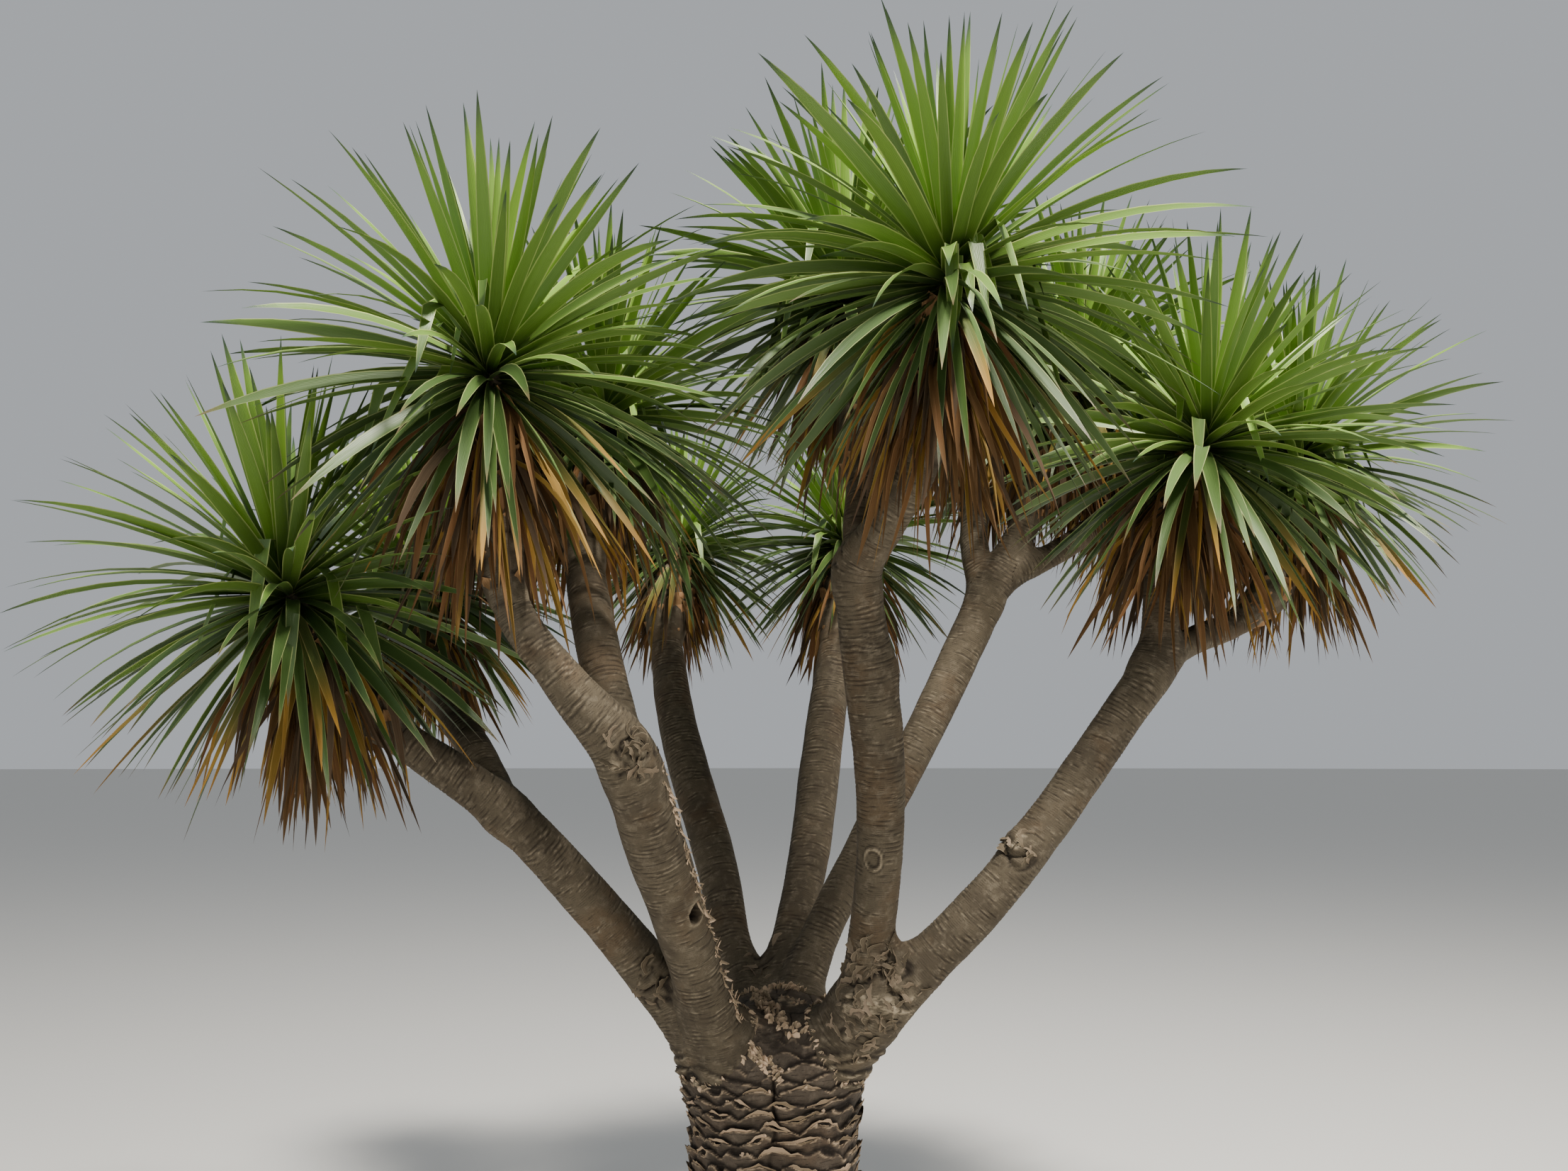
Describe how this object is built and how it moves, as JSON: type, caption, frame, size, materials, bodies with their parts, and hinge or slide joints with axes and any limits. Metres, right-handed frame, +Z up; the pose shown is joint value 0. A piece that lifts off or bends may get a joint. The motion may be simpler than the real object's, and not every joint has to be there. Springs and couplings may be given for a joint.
{
  "type": "dragon tree",
  "caption": "Dragon tree with a short scaly trunk, low-forking ringed boughs and sword-leaved tufts over hanging dead leaves.",
  "frame": {"origin": "on the trunk's axis, in the flat cut at ground level", "axes": "+Z up, -Y towards the side that the picture shows, +X to the right in the picture"},
  "size_m": [3.4558, 2.6304, 3.3875],
  "materials": {
    "trunk_bark": "rough scaly bark",
    "bough_bark": "matte ringed bark",
    "foliage": "satin leaves"
  },
  "bodies": {
    "root": {"trunk": "trunk_bark", "bough_left": "bough_bark", "branch_left_back": "bough_bark", "bough_front": "bough_bark", "branch_front_outer": "bough_bark", "branch_front_inner": "bough_bark", "bough_back_left": "bough_bark", "bough_back_middle": "bough_bark", "bough_back_right": "bough_bark", "branch_back_right": "bough_bark", "branch_back_right_inner": "bough_bark", "branch_back_right_outer": "bough_bark", "bough_middle": "bough_bark", "branch_middle_front": "bough_bark", "branch_middle_back": "bough_bark", "bough_right": "bough_bark", "branch_right_up": "bough_bark", "branch_right_outer": "bough_bark", "tuft_left": "foliage", "tuft_left_back": "foliage", "tuft_front": "foliage", "tuft_front_inner": "foliage", "tuft_back_left": "foliage", "tuft_back_middle": "foliage", "tuft_back_right": "foliage", "tuft_back_right_inner": "foliage", "tuft_back_right_outer": "foliage", "tuft_top": "foliage", "tuft_top_back": "foliage", "tuft_right": "foliage", "tuft_right_outer": "foliage"}
  },
  "joints": []
}
